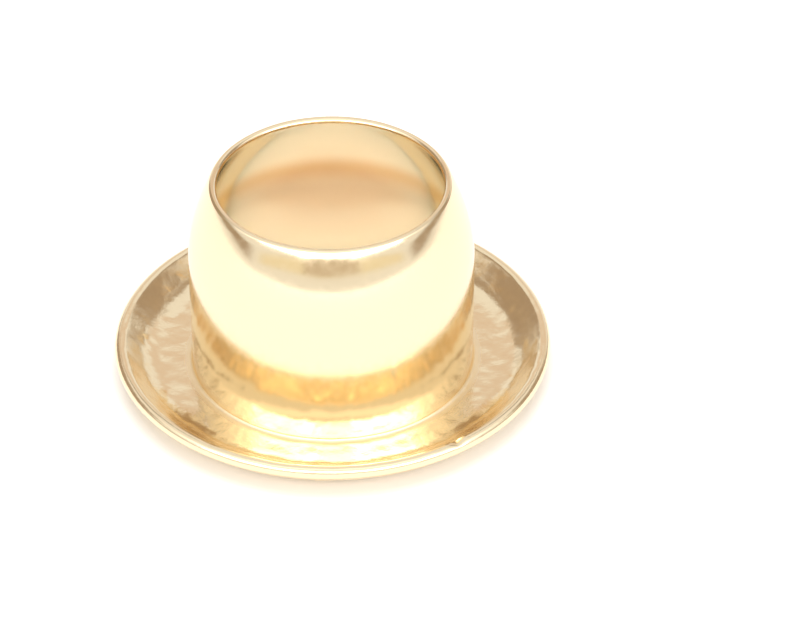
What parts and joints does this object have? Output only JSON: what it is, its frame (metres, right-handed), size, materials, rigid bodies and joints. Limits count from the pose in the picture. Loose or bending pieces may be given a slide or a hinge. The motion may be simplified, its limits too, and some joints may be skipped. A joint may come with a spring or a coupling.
{
  "type": "eyelet",
  "caption": "Round eyelet drawn from sheet brass: a thin straight barrel that curls in to a beaded lip, standing on a flat flange with an upturned beaded rim.",
  "frame": {"origin": "on the barrel's axis, at the face of the flange that the eyelet stands on", "axes": "+Z along the barrel, from the flange to the curled lip; X and Y lie in the face of the flange"},
  "size_m": [0.008, 0.008, 0.004],
  "materials": {
    "brass": "pale polished and tumbled brass"
  },
  "bodies": {
    "root": {"eyelet": "brass"}
  },
  "joints": []
}
